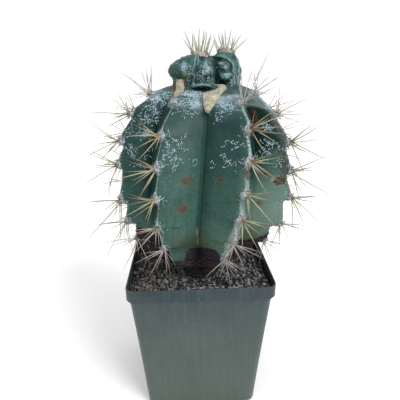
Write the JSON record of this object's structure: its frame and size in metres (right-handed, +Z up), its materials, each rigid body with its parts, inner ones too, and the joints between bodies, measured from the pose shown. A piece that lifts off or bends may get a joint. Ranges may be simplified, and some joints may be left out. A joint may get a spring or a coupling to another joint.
{
  "type": "potted monstrose monk's hood cactus",
  "caption": "Ribbed globular cactus with spiny woolly crests and a lobed monstrose head, standing in granular soil in a tapered square nursery pot.",
  "frame": {"origin": "middle of the pot's underside, on the surface that it stands on", "axes": "+Z up through the plant, -Y towards the plant's front, +X to the right seen from the front, square to the pot's sides"},
  "size_m": [0.2121, 0.2192, 0.3469],
  "materials": {
    "pot_plastic": "satin",
    "soil_grit": "matte",
    "cactus_skin": "satin",
    "spines": "matte"
  },
  "bodies": {
    "root": {"pot": "pot_plastic", "soil": "soil_grit", "cactus_stem": "cactus_skin", "spines_left_side": "spines", "spines_left_front": "spines", "spines_right_front": "spines", "spines_right_side": "spines", "spines_back_right_side": "spines", "spines_back_right": "spines", "spines_back_left": "spines", "spines_back_left_side": "spines", "spines_crown_left": "spines", "spines_crown_right": "spines"}
  },
  "joints": []
}
